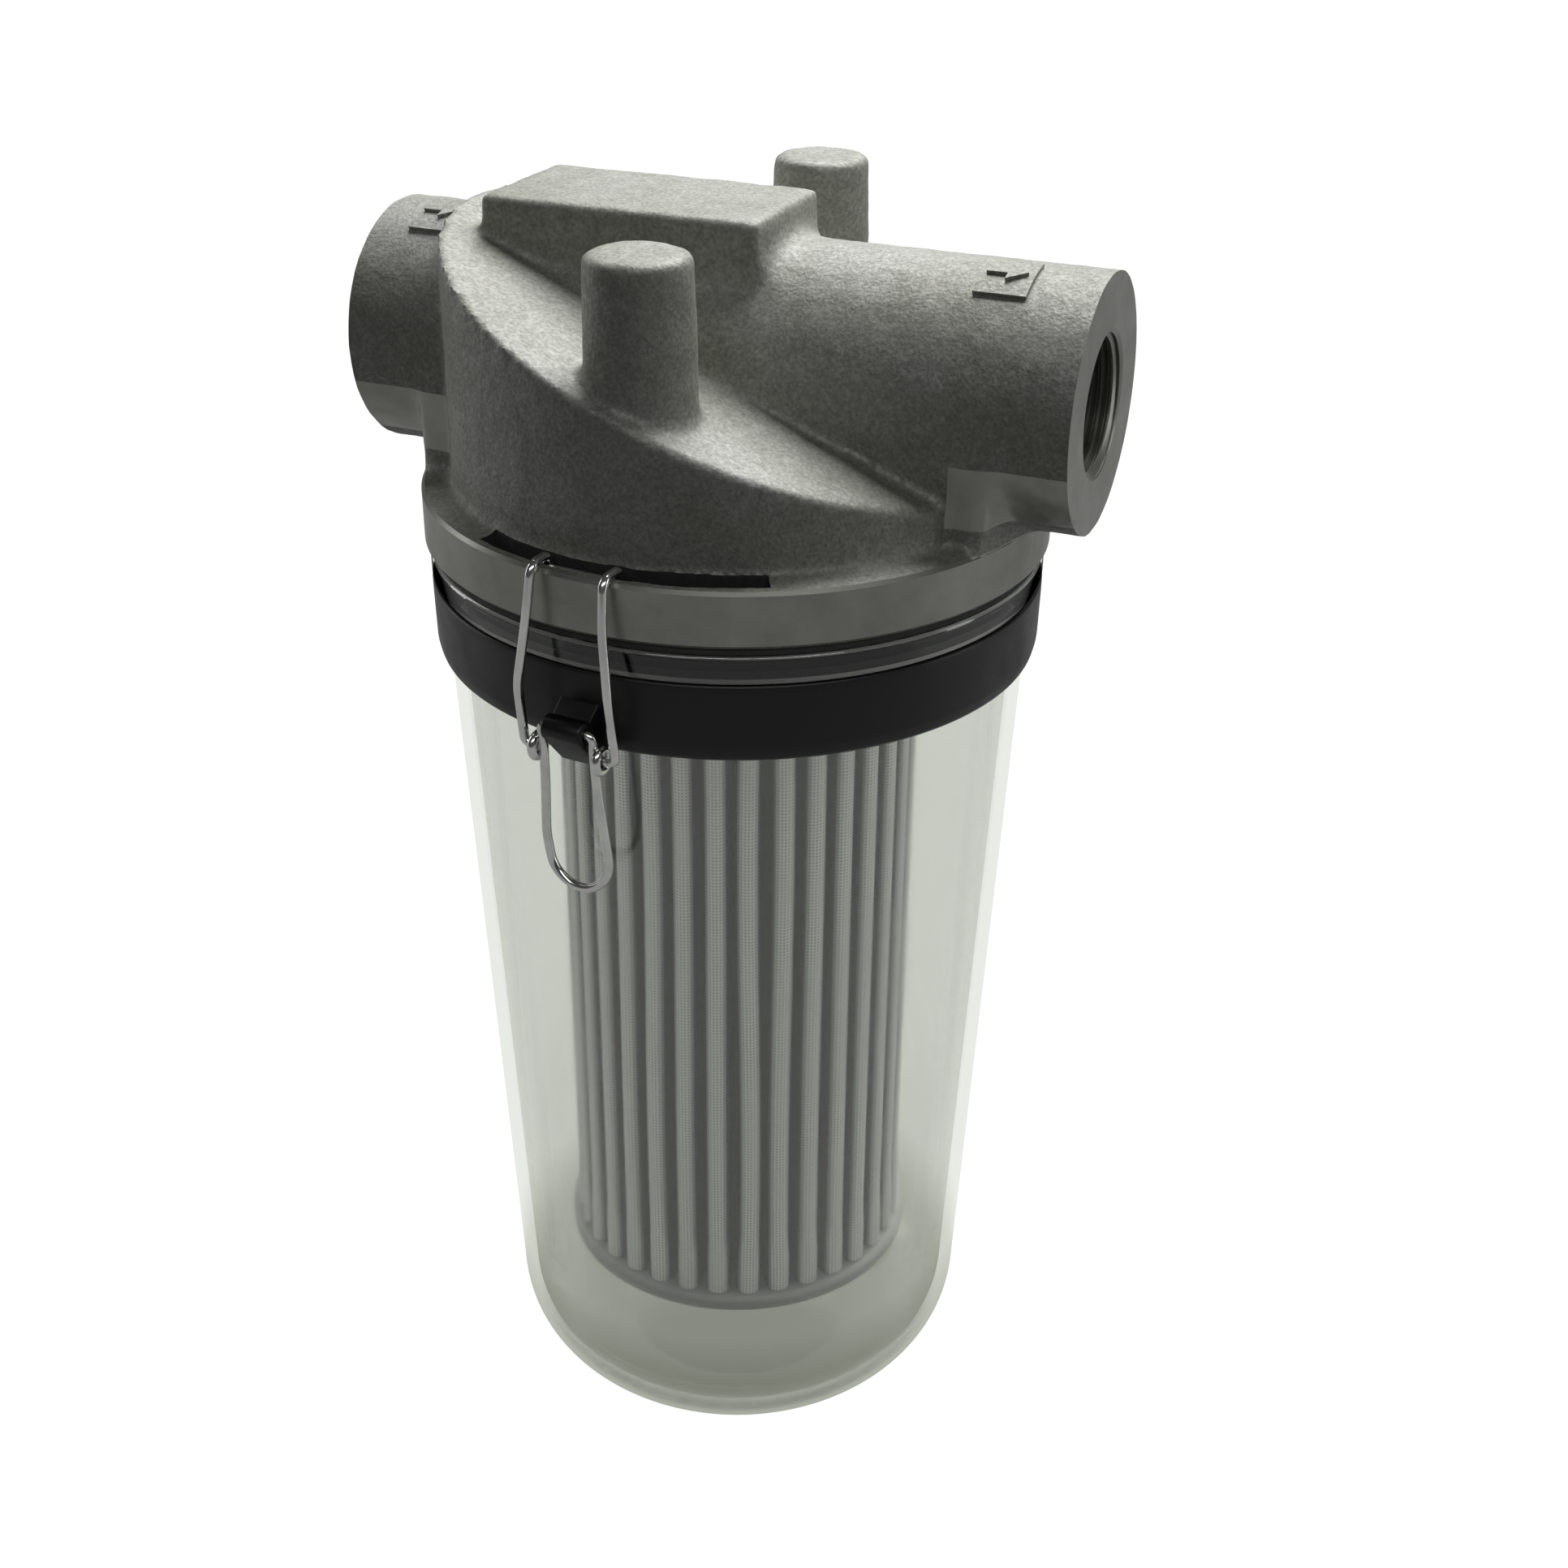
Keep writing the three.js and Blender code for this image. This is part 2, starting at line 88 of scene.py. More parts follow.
def linear(code):
    """A six-figure sRGB hex code as linear red, green, blue and alpha."""
    shares = [int(code[i:i + 2], 16) / 255 for i in (0, 2, 4)]
    return [s / 12.92 if s <= 0.04045 else ((s + 0.055) / 1.055) ** 2.4 for s in shares] + [1]


def add(tree, kind, values=None, links=None, **settings):
    """One node, with its input values, its incoming links and its own settings."""
    node = tree.nodes.new("ShaderNode" + kind)
    for name, value in settings.items():
        setattr(node, name, value)
    for socket, value in (values or {}).items():
        node.inputs[socket].default_value = value
    for socket, source in (links or {}).items():
        tree.links.new(source, node.inputs[socket])
    return node


def new_material(name, **values):
    """A material with one Principled shader: returns it, its tree, shader and coordinates."""
    made = bpy.data.materials.new(name)
    made.use_nodes = True
    tree = made.node_tree
    tree.nodes.clear()
    shader = add(tree, "BsdfPrincipled", values)
    add(tree, "OutputMaterial", links={"Surface": shader.outputs[0]})
    return made, tree, shader, add(tree, "TexCoord")


def ramp(tree, source, stops):
    """Colours along a 0 to 1 value; stops are (place, hex code)."""
    node = add(tree, "ValToRGB", links={"Fac": source})
    while len(node.color_ramp.elements) < len(stops):
        node.color_ramp.elements.new(1)
    for element, (place, code) in zip(node.color_ramp.elements, stops):
        element.position = place
        element.color = linear(code)
    return node.outputs["Color"]


def maths(tree, operation, *operands):
    """The result of one sum; each operand is a number or a socket."""
    places = list(enumerate(operands))
    numbers = {i: operand for i, operand in places if isinstance(operand, (int, float))}
    sockets = {i: operand for i, operand in places if i not in numbers}
    return add(tree, "Math", numbers, sockets, operation=operation).outputs[0]


def reaches_paper(tree):
    """1 for a ray that the camera sends straight, or through the bowl, and otherwise 0; with
    the node that tells rays apart."""
    ray = add(tree, "LightPath")
    through = maths(tree, "GREATER_THAN", ray.outputs["Transmission Depth"], 0.5)
    sharp = maths(tree, "SUBTRACT", through, ray.outputs["Is Diffuse Ray"])
    return maths(tree, "MAXIMUM", ray.outputs["Is Camera Ray"], sharp), ray


world = bpy.data.worlds.new("studio")
world.use_nodes = True
sky = world.node_tree.nodes["Background"]
sky.inputs["Color"].default_value = linear("ffffff")
sky_seen, _ = reaches_paper(world.node_tree)
room_light, seen_light = 0.07, 1.0
sky_light = add(world.node_tree, "MapRange", {3: room_light, 4: seen_light}, {0: sky_seen})
world.node_tree.links.new(sky_light.outputs[0], sky.inputs["Strength"])
bpy.context.scene.world = world

paper, paper_tree, paper_shader, _ = new_material("white_paper", Roughness=0.9)
paper_shader.inputs["Base Color"].default_value = linear("323231")
paper_seen, paper_ray = reaches_paper(paper_tree)
mirrored_glow = maths(paper_tree, "MULTIPLY", paper_ray.outputs["Is Glossy Ray"], 0.35)
glow = maths(paper_tree, "MAXIMUM", paper_seen, mirrored_glow)
lit = add(paper_tree, "Emission", {"Color": linear("ffffff")}, {"Strength": glow})
paper_sum = add(paper_tree, "AddShader", links={0: paper_shader.outputs[0], 1: lit.outputs[0]})
paper_tree.links.new(paper_sum.outputs[0], paper_tree.nodes["Material Output"].inputs["Surface"])
floor_mesh = bmesh.new()
bmesh.ops.create_grid(floor_mesh, x_segments=1, y_segments=1, size=12)
floor_data = bpy.data.meshes.new("floor")
floor_mesh.to_mesh(floor_data)
floor_data.materials.append(paper)
floor = bpy.data.objects.new("floor", floor_data)
floor.location.z = -0.0005
bpy.context.scene.collection.objects.link(floor)

# ---- head ---------------------------------------------------------------------------------
# One sand casting in aluminium: a pipe across a drum with a sloping roof, on a round flange,
# with a flat pad and two solid bosses. The skin is left as cast; the ports, the flange's edge
# and underside and the ground beside each neck are machined.
MM = 0.001
flange_radius = 76.0
flange_height = 13.5
flange_chamfer = 0.9
ledge = 7.5
root = -8.0
roof_height = 33.4
roof_angle = radians(21.3)
roof_thickness = 6.0
chamber_radius = 62.0
pipe_radius = 29.4
pipe_height = 27.6
port_reach = 88.3
thread_minor = 15.15
thread_major = 16.62
thread_pitch = 2.309
spigot_radius = 20.0
spigot_drop = 36.0
head_height = 65.2
boss_height = 64.8
pad_height = 64.4
pad_ends = (-56.6, 12.7)
pad_half = 19.3
pocket_inner = 69.2
pocket_outer = 73.5
pocket_half_angle = radians(28.5)
ground_start = 62.0
ground_low = 5.0
ground_high = 19.0
flange_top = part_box("head_casting")[1].z / MM - head_height


def lathe(profile, steps=96, angle=2 * pi, start=0.0):
    """A turned solid about Z, from [radius, height] points."""
    bm = bmesh.new()
    points = [bm.verts.new((radius, 0, height)) for radius, height in profile]
    edges = [bm.edges.new(pair) for pair in zip(points, points[1:])]
    if profile[0][0] > 0 or angle < 2 * pi:
        edges.append(bm.edges.new((points[-1], points[0])))
    whole = angle >= 2 * pi
    bmesh.ops.spin(
        bm, geom=points + edges, cent=(0, 0, 0), axis=(0, 0, 1), dvec=(0, 0, 0),
        angle=angle, steps=steps, use_merge=whole,
    )
    bmesh.ops.remove_doubles(bm, verts=bm.verts, dist=1e-4)
    if not whole:
        bmesh.ops.holes_fill(bm, edges=[e for e in bm.edges if e.is_boundary], sides=0)
        bmesh.ops.rotate(bm, verts=bm.verts, cent=(0, 0, 0), matrix=Matrix.Rotation(start, 3, "Z"))
    bmesh.ops.recalc_face_normals(bm, faces=bm.faces)
    return bm


def plug(radius, low, high, steps=96):
    """A turned solid cylinder between two heights."""
    return lathe([(0, low), (radius, low), (radius, high), (0, high)], steps)


def brick(low, high):
    """A box between two opposite corners."""
    bm = bmesh.new()
    bmesh.ops.create_cube(bm, size=1)
    size = Vector(high) - Vector(low)
    bmesh.ops.scale(bm, verts=bm.verts, vec=size)
    bmesh.ops.translate(bm, verts=bm.verts, vec=(Vector(high) + Vector(low)) / 2)
    return bm


def prism(outline, low, high):
    """A flat outline of [x, z] points, pulled from one y to another."""
    bm = bmesh.new()
    face = bm.faces.new([bm.verts.new((x, low, z)) for x, z in outline])
    pulled = bmesh.ops.extrude_face_region(bm, geom=[face])["geom"]
    bmesh.ops.translate(
        bm, verts=[v for v in pulled if isinstance(v, bmesh.types.BMVert)], vec=(0, high - low, 0),
    )
    bmesh.ops.recalc_face_normals(bm, faces=bm.faces)
    return bm


def slice_off(bm, point, normal):
    """Cuts a solid by a plane, drops what is on the normal's side and closes the cut."""
    geom = list(bm.verts) + list(bm.edges) + list(bm.faces)
    bmesh.ops.bisect_plane(
        bm, geom=geom, plane_co=point, plane_no=Vector(normal).normalized(), clear_outer=True,
    )
    bmesh.ops.holes_fill(bm, edges=[e for e in bm.edges if e.is_boundary], sides=0)
    bmesh.ops.recalc_face_normals(bm, faces=bm.faces)
    return bm


def moved(bm, matrix):
    """The same solid, moved in place."""
    bmesh.ops.transform(bm, verts=bm.verts, matrix=matrix)
    return bm


def along_pipe(bm):
    """Lays a turned solid along the pipe, its top towards the outlet."""
    return moved(bm, Matrix.Translation((0, 0, pipe_height)) @ Matrix.Rotation(pi / 2, 4, "Y"))


def joined(*solids):
    """Several solids in one mesh, still passing through each other."""
    whole = bmesh.new()
    for bm in solids:
        mesh = bpy.data.meshes.new("joined")
        bm.to_mesh(mesh)
        whole.from_mesh(mesh)
        bpy.data.meshes.remove(mesh)
        bm.free()
    return whole


def to_object(name, bm):
    """A solid as an object of its own."""
    data = bpy.data.meshes.new(name)
    bm.to_mesh(data)
    bm.free()
    obj = bpy.data.objects.new(name, data)
    bpy.context.scene.collection.objects.link(obj)
    return obj


def settle(obj):
    """Applies the object's modifiers to its mesh."""
    view = bpy.context.evaluated_depsgraph_get()
    made = bpy.data.meshes.new_from_object(obj.evaluated_get(view))
    obj.modifiers.clear()
    old = obj.data
    obj.data = made
    made.name = obj.name
    made.materials.clear()
    bpy.data.meshes.remove(old)


def combine(obj, bm, operation):
    """Joins or cuts an object with a solid."""
    tool = to_object("tool", bm)
    modifier = obj.modifiers.new("combine", "BOOLEAN")
    modifier.solver = "MANIFOLD"
    modifier.operation = operation
    modifier.object = tool
    settle(obj)
    data = tool.data
    bpy.data.objects.remove(tool)
    bpy.data.meshes.remove(data)


def finished(obj, body, slot, *materials, sharp=35, replaces=()):
    """Brings a piece drawn in millimetres from the flange's top to its place and dresses it."""
    obj.data.transform(Matrix.Scale(MM, 4) @ Matrix.Translation((0, 0, flange_top)))
    for made in materials:
        obj.data.materials.append(made)
    obj.data.shade_smooth()
    obj.data.set_sharp_from_angle(angle=radians(sharp))
    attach(obj, body)
    if replaces:
        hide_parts(*replaces)


def cast_skin():
    """Sand-cast aluminium: grey, with sand grain a little under a millimetre across."""
    made, tree, shader, place = new_material("sand_cast_aluminium", Metallic=0.12)
    where = place.outputs["Object"]
    sand = add(tree, "TexNoise", {"Scale": 1 / 0.0009, "Detail": 3, "Roughness": 0.6}, {"Vector": where})
    coarse = add(tree, "TexNoise", {"Scale": 1 / 0.0026, "Detail": 3, "Roughness": 0.6}, {"Vector": where})
    cloud = add(tree, "TexNoise", {"Scale": 1 / 0.026, "Detail": 3, "Roughness": 0.5}, {"Vector": where})
    mixed = add(tree, "Mix", {0: 0.3}, {2: sand.outputs["Fac"], 3: coarse.outputs["Fac"]})
    grain = ramp(tree, mixed.outputs[0], [(0.34, "8c8d87"), (0.5, "a4a59f"), (0.66, "bebfb9")])
    tone = ramp(tree, cloud.outputs["Fac"], [(0.3, "e4e4dc"), (0.7, "ffffff")])
    colour = add(tree, "Mix", {0: 1.0}, {6: grain, 7: tone}, data_type="RGBA", blend_type="MULTIPLY")
    tree.links.new(colour.outputs[2], shader.inputs["Base Color"])
    rough = add(tree, "MapRange", {1: 0.3, 2: 0.7, 3: 0.66, 4: 0.5}, {0: mixed.outputs[0]})
    tree.links.new(rough.outputs[0], shader.inputs["Roughness"])
    bump = add(tree, "Bump", {"Strength": 0.9, "Distance": 0.0003}, {"Height": mixed.outputs[0]})
    tree.links.new(bump.outputs[0], shader.inputs["Normal"])
    return made


def turned_metal():
    """Machined aluminium: smooth and brighter, with a faint haze."""
    made, tree, shader, place = new_material("machined_aluminium", Metallic=0.8)
    where = place.outputs["Object"]
    haze = add(tree, "TexNoise", {"Scale": 1 / 0.012, "Detail": 4, "Roughness": 0.6}, {"Vector": where})
    lines = add(tree, "TexNoise", {"Scale": 1 / 0.0006, "Detail": 2, "Roughness": 0.5}, {"Vector": where})
    colour = ramp(tree, haze.outputs["Fac"], [(0.35, "888982"), (0.65, "94958e")])
    tree.links.new(colour, shader.inputs["Base Color"])
    rough = add(tree, "MapRange", {1: 0.3, 2: 0.7, 3: 0.42, 4: 0.34}, {0: haze.outputs["Fac"]})
    tree.links.new(rough.outputs[0], shader.inputs["Roughness"])
    bump = add(tree, "Bump", {"Strength": 0.25, "Distance": 0.00003}, {"Height": lines.outputs["Fac"]})
    tree.links.new(bump.outputs[0], shader.inputs["Normal"])
    return made


def rough_casting():
    """The as-cast outside: plain solids run together, then softened as a sand mould leaves them."""
    drum = slice_off(
        plug(flange_radius - ledge, root, 80), (0, 0, roof_height), (tan(roof_angle), 0, 1),
    )
    pipe = along_pipe(plug(pipe_radius, -port_reach - 3.7, port_reach + 3.7))
    flange = plug(flange_radius - 0.6, root, 0, 128)
    solids = [drum, pipe, flange]
    neck_start = 45
    boss_foot, boss_tip, boss_place = 13.4, 11.8, 52.9
    for side in (-1, 1):
        neck = plug(flange_radius, root, pipe_height)
        slice_off(neck, (side * neck_start, 0, 0), (-side, 0, 0))
        slice_off(neck, (0, pipe_radius, 0), (0, 1, 0))
        solids.append(slice_off(neck, (0, -pipe_radius, 0), (0, -1, 0)))
        boss = lathe([(0, root), (boss_foot, root), (boss_tip, boss_height), (0, boss_height)], 64)
        solids.append(moved(boss, Matrix.Translation((0, side * boss_place, 0))))
    pad_end = pad_ends[1]
    solids.append(brick((pad_ends[0], -pad_half, pipe_height), (pad_end, pad_half, pad_height)))
    reach = 5.0
    inside = pipe_radius - 4
    arc = [
        (pipe_radius + reach * (1 - sin(pi / 2 * i / 8)), pad_end + reach * (1 - cos(pi / 2 * i / 8)))
        for i in range(9)
    ]
    fillet = along_pipe(lathe(
        [(inside, pad_end - 4.7), (pipe_radius + reach, pad_end - 4.7)] + arc + [(inside, pad_end + reach)],
    ))
    for side in (-1, 1):
        slice_off(fillet, (0, side * (pad_half - 1.3), 0), (0, side, 0))
    solids.append(slice_off(fillet, (0, 0, pipe_height + 10), (0, 0, -1)))
    obj = to_object("head_casting_skin", joined(*solids))
    remesh = obj.modifiers.new("run_together", "REMESH")
    remesh.mode = "VOXEL"
    remesh.voxel_size = 1.1
    smooth = obj.modifiers.new("soften", "SMOOTH")
    smooth.factor = 0.5
    smooth.iterations = 14
    settle(obj)
    bm = bmesh.new()
    bm.from_mesh(obj.data)
    for vertex in bm.verts:
        waviness = noise.noise(vertex.co / 7.0) * 0.22 + noise.noise(vertex.co / 2.2) * 0.10
        vertex.co += vertex.normal * waviness
    bm.to_mesh(obj.data)
    bm.free()
    return obj


def thread_cutter():
    """The V of a parallel pipe thread, run as a helix along X into the port."""
    bm = bmesh.new()
    inside = thread_minor - 0.25
    half_mouth, half_root = 1.02, 0.12
    corners = [
        (inside, -half_mouth), (thread_major, -half_root), (thread_major, half_root), (inside, half_mouth),
    ]
    points = [bm.verts.new((0, radius, x)) for radius, x in corners]
    edges = [bm.edges.new((points[i], points[(i + 1) % 4])) for i in range(4)]
    turns = 8
    steps = 40 * turns
    bmesh.ops.spin(
        bm, geom=points + edges, cent=(0, 0, 0), axis=(0, 0, 1),
        dvec=(0, 0, -thread_pitch * turns / steps), angle=2 * pi * turns, steps=steps,
    )
    bmesh.ops.remove_doubles(bm, verts=bm.verts, dist=1e-5)
    bmesh.ops.holes_fill(bm, edges=[e for e in bm.edges if e.is_boundary], sides=0)
    bmesh.ops.recalc_face_normals(bm, faces=bm.faces)
    return moved(bm, Matrix.Translation((0, 0, port_reach + 1.5)))


def flow_mark(middle_x):
    """A raised plate on the pipe's shoulder with an arrow that points from inlet to outlet."""
    half_length = 6.0
    half_angle = radians(13.5)
    lean = radians(16)
    sunk, raised = pipe_radius - 2, pipe_radius + 0.9
    plate = lathe([
        (sunk, -half_length), (raised, -half_length), (raised, half_length), (sunk, half_length),
    ], 8, 2 * half_angle)
    moved(plate, Matrix.Rotation(-half_angle, 4, "Z"))
    moved(plate, Matrix.Rotation(pi / 2, 4, "Y"))
    moved(plate, Matrix.Rotation(pi, 4, "X"))
    arrow = prism(
        [(-4.6, -0.9), (0.2, -0.9), (0.2, -3.2), (4.6, 0), (0.2, 3.2), (0.2, 0.9), (-4.6, 0.9)], 0, 3,
    )
    moved(arrow, Matrix.Rotation(pi / 2, 4, "X"))
    moved(arrow, Matrix.Translation((0, 0, pipe_radius - 1.3)))
    place = Matrix.Translation((middle_x, 0, pipe_height)) @ Matrix.Rotation(lean, 4, "X")
    return moved(plate, place), moved(arrow, place)


def score(obj, point, normal):
    """Edges where a plane crosses the mesh, so that a finish can end on a clean line."""
    bm = bmesh.new()
    bm.from_mesh(obj.data)
    bmesh.ops.bisect_plane(
        bm, geom=bm.verts[:] + bm.edges[:] + bm.faces[:], plane_co=point, plane_no=normal,
    )
    bm.to_mesh(obj.data)
    bm.free()


def cut_ports(obj):
    """The threaded port at each end, and the clean side's bore from the spigot to the outlet."""
    for side in (-1, 1):
        low, high = sorted((side * port_reach, side * (port_reach + 9)))
        combine(obj, brick((low, -40, -20), (high, 40, 70)), "DIFFERENCE")
    mouth = thread_major + 0.5
    entry = [
        (thread_minor, port_reach - 1.5), (mouth, port_reach + 0.2), (mouth, port_reach + 4),
        (0, port_reach + 4),
    ]
    to_inlet = Matrix.Rotation(pi, 4, "Z")
    combine(obj, along_pipe(lathe([(0, -5), (thread_minor, -5)] + entry, 80)), "DIFFERENCE")
    combine(obj, plug(thread_minor, -60, pipe_height, 80), "DIFFERENCE")
    inlet_bore = lathe([(0, 56), (thread_minor, 56)] + entry, 80)
    combine(obj, moved(along_pipe(inlet_bore), to_inlet), "DIFFERENCE")
    combine(obj, along_pipe(thread_cutter()), "DIFFERENCE")
    combine(obj, moved(along_pipe(thread_cutter()), to_inlet), "DIFFERENCE")


def finish_slot(polygon):
    """Which finish a face has: 0 as cast, 1 machined, 2 painted shade in a clip pocket."""
    centre, normal = polygon.center, polygon.normal
    from_axis = sqrt(centre.x ** 2 + centre.y ** 2)
    from_pipe = sqrt(centre.y ** 2 + (centre.z - pipe_height) ** 2)
    in_pocket = (
        pocket_inner - 0.15 < from_axis < pocket_outer + 0.05 and -3.3 < centre.z < 4.2
        and abs(centre.x) < 35.2 and (centre.z < -0.4 or abs(normal.z) < 0.15)
    )
    if in_pocket:
        return 2
    port = abs(centre.x) > port_reach - 22 and (
        from_pipe < thread_major + 0.7 or abs(normal.x) > 0.99
    )
    rim_side = centre.z < -0.3 and from_axis > flange_radius - 0.95
    under = centre.z < -flange_height + 0.01
    ground = (
        from_pipe > 28 and from_axis > ground_start and abs(centre.x) > ground_start
        and ground_low < centre.z < ground_high
    )
    return 1 if port or rim_side or under or ground else 0


def head_casting():
    """The casting with its rim, chamber, spigot, ports, flow marks and clip pockets."""
    obj = rough_casting()
    rim = [
        (55, -flange_height), (flange_radius - flange_chamfer, -flange_height),
        (flange_radius, -flange_height + flange_chamfer), (flange_radius, -1.0),
        (flange_radius - 0.8, -0.2), (55, -0.2),
    ]
    combine(obj, lathe(rim, 160), "UNION")
    chamber = slice_off(
        plug(chamber_radius, -20, 80),
        (0, 0, roof_height - roof_thickness / cos(roof_angle)), (tan(roof_angle), 0, 1),
    )
    combine(obj, chamber, "DIFFERENCE")
    spigot = [
        (0, -spigot_drop), (spigot_radius - 0.8, -spigot_drop), (spigot_radius, -spigot_drop + 0.8),
        (spigot_radius, pipe_height), (0, pipe_height),
    ]
    combine(obj, lathe(spigot, 64), "UNION")
    combine(obj, along_pipe(plug(spigot_radius, 0, 80, 64)), "UNION")
    cut_ports(obj)
    for mark_x, pocket_turn in ((-72.5, 0), (67, pi)):
        for mark in flow_mark(mark_x):
            combine(obj, mark, "UNION")
        pocket = lathe(
            [(pocket_inner, -3), (pocket_outer, -3), (pocket_outer, 4), (pocket_inner, 4)],
            40, 2 * pocket_half_angle, -pi / 2 - pocket_half_angle,
        )
        combine(obj, moved(pocket, Matrix.Rotation(pocket_turn, 4, "Z")), "DIFFERENCE")
    score(obj, (ground_start, 0, 0), (1, 0, 0))
    score(obj, (-ground_start, 0, 0), (1, 0, 0))
    score(obj, (0, 0, ground_high), (0, 0, 1))
    score(obj, (0, 0, ground_low), (0, 0, 1))
    for polygon in obj.data.polygons:
        polygon.material_index = finish_slot(polygon)
    return obj


# Painted shade: the clip pockets' faces get a near-black colour that stands in for the shadow inside them.
pocket_painted_shade = new_material("pocket_painted_shade", Roughness=0.9)[0]
pocket_painted_shade.node_tree.nodes["Principled BSDF"].inputs["Base Color"].default_value = linear("1d1d1b")
finished(
    head_casting(), "head", "cast_head", cast_skin(), turned_metal(), pocket_painted_shade,
    sharp=40, replaces=["head_casting"],
)

# ---- head gasket --------------------------------------------------------------------------
# A flat ring of black nitrile rubber, moulded with rounded edges. It sits loose between the
# head and the bowl's flange until the clips squeeze it.
gasket_top = -flange_height
gasket_thickness = 2.0
gasket_outer = 74.6
gasket_inner = 68.2


def corner_bend(before, corner, after, reach, steps):
    """A corner as a short curve that starts and ends at a reach from it."""
    start = corner + (before - corner).normalized() * reach
    end = corner + (after - corner).normalized() * reach
    shares = [step / steps for step in range(steps + 1)]
    return [start * (1 - t) ** 2 + corner * 2 * t * (1 - t) + end * t ** 2 for t in shares]


def rounded(profile, radius, steps=3):
    """A closed profile with its corners rounded, as points for the lathe."""
    corners = [Vector(point) for point in profile]
    points = []
    for before, corner, after in zip(corners[-1:] + corners, corners, corners[1:] + corners[:1]):
        reach = min(radius, (before - corner).length / 2.2, (after - corner).length / 2.2)
        points += [tuple(point) for point in corner_bend(before, corner, after, reach, steps)]
    return points


def mottled(name, scale, colours, roughness, detail=4, grain=None, **values):
    """A moulded or drawn surface that drifts between two colours and two roughnesses; a scale
    is in metres. Returns the material, its tree, shader and coordinates."""
    made, tree, shader, place = new_material(name, **values)
    settings = {"Scale": 1 / scale, "Detail": detail}
    if grain is not None:
        settings["Roughness"] = grain
    cloud = add(tree, "TexNoise", settings, {"Vector": place.outputs["Object"]}).outputs["Fac"]
    (low, dark), (high, light) = colours
    tree.links.new(ramp(tree, cloud, [(low, dark), (high, light)]), shader.inputs["Base Color"])
    rough = add(tree, "MapRange", {1: 0.3, 2: 0.7, 3: roughness[0], 4: roughness[1]}, {0: cloud})
    tree.links.new(rough.outputs[0], shader.inputs["Roughness"])
    return made, tree, shader, place


rubber = mottled("nitrile_rubber", 0.003, ((0.3, "0d0d0d"), (0.7, "1b1b1a")), (0.6, 0.8))[0]
gasket_profile = [
    (gasket_inner, gasket_top - gasket_thickness), (gasket_outer, gasket_top - gasket_thickness),
    (gasket_outer, gasket_top), (gasket_inner, gasket_top),
]
finished(
    to_object("bowl_gasket", lathe(rounded(gasket_profile, 0.7), 160)),
    "head", "seal", rubber, replaces=["head_gasket"],
)

# ---- bowl ---------------------------------------------------------------------------------
# Injection-moulded clear polycarbonate with a turned-out flange, a slight draft and a domed
# end. It is faintly hazy and grey-green through the wall.
bowl_top = gasket_top - gasket_thickness
bowl_flange = 7.0
bowl_rim = 74.9
bowl_neck = 71.7
bowl_wall = 3.5
bowl_length = flange_top
ring_height = 19.1
ring_top = bowl_top - bowl_flange
ring_bottom = ring_top - ring_height
dome_height = 30.7
dome_power = 2 / 2.23
bowl_low = bowl_neck - 8.75
foot = 22.6


def dome(wall_radius, foot_radius, bottom, steps=28):
    """The bowl's rounded end, from its flat foot up to the start of the straight wall."""
    points = []
    top = -bowl_length + dome_height
    for i in range(steps + 1):
        angle = pi / 2 * i / steps
        radius = foot_radius + (wall_radius - foot_radius) * sin(angle) ** dome_power
        points.append((radius, top - (top - bottom) * cos(angle) ** dome_power))
    return points


def bowl_profile():
    """Half the bowl's section: up the outside, round the flange and back down the inside."""
    outer = dome(bowl_low, foot, -bowl_length)
    inner = dome(bowl_low - bowl_wall, foot - bowl_wall, -bowl_length + bowl_wall)
    neck_inner = bowl_neck - bowl_wall
    steps = 4
    flange = rounded([
        (bowl_neck, ring_bottom), (bowl_neck, ring_top), (bowl_rim, ring_top), (bowl_rim, bowl_top),
        (neck_inner, bowl_top), (neck_inner, ring_bottom),
    ], 1.3, steps)
    return (
        [(0, -bowl_length)] + outer + [(bowl_neck, ring_bottom)] + flange[steps + 1:-steps - 1]
        + [(neck_inner, ring_bottom)] + inner[::-1] + [(0, -bowl_length + bowl_wall)]
    )


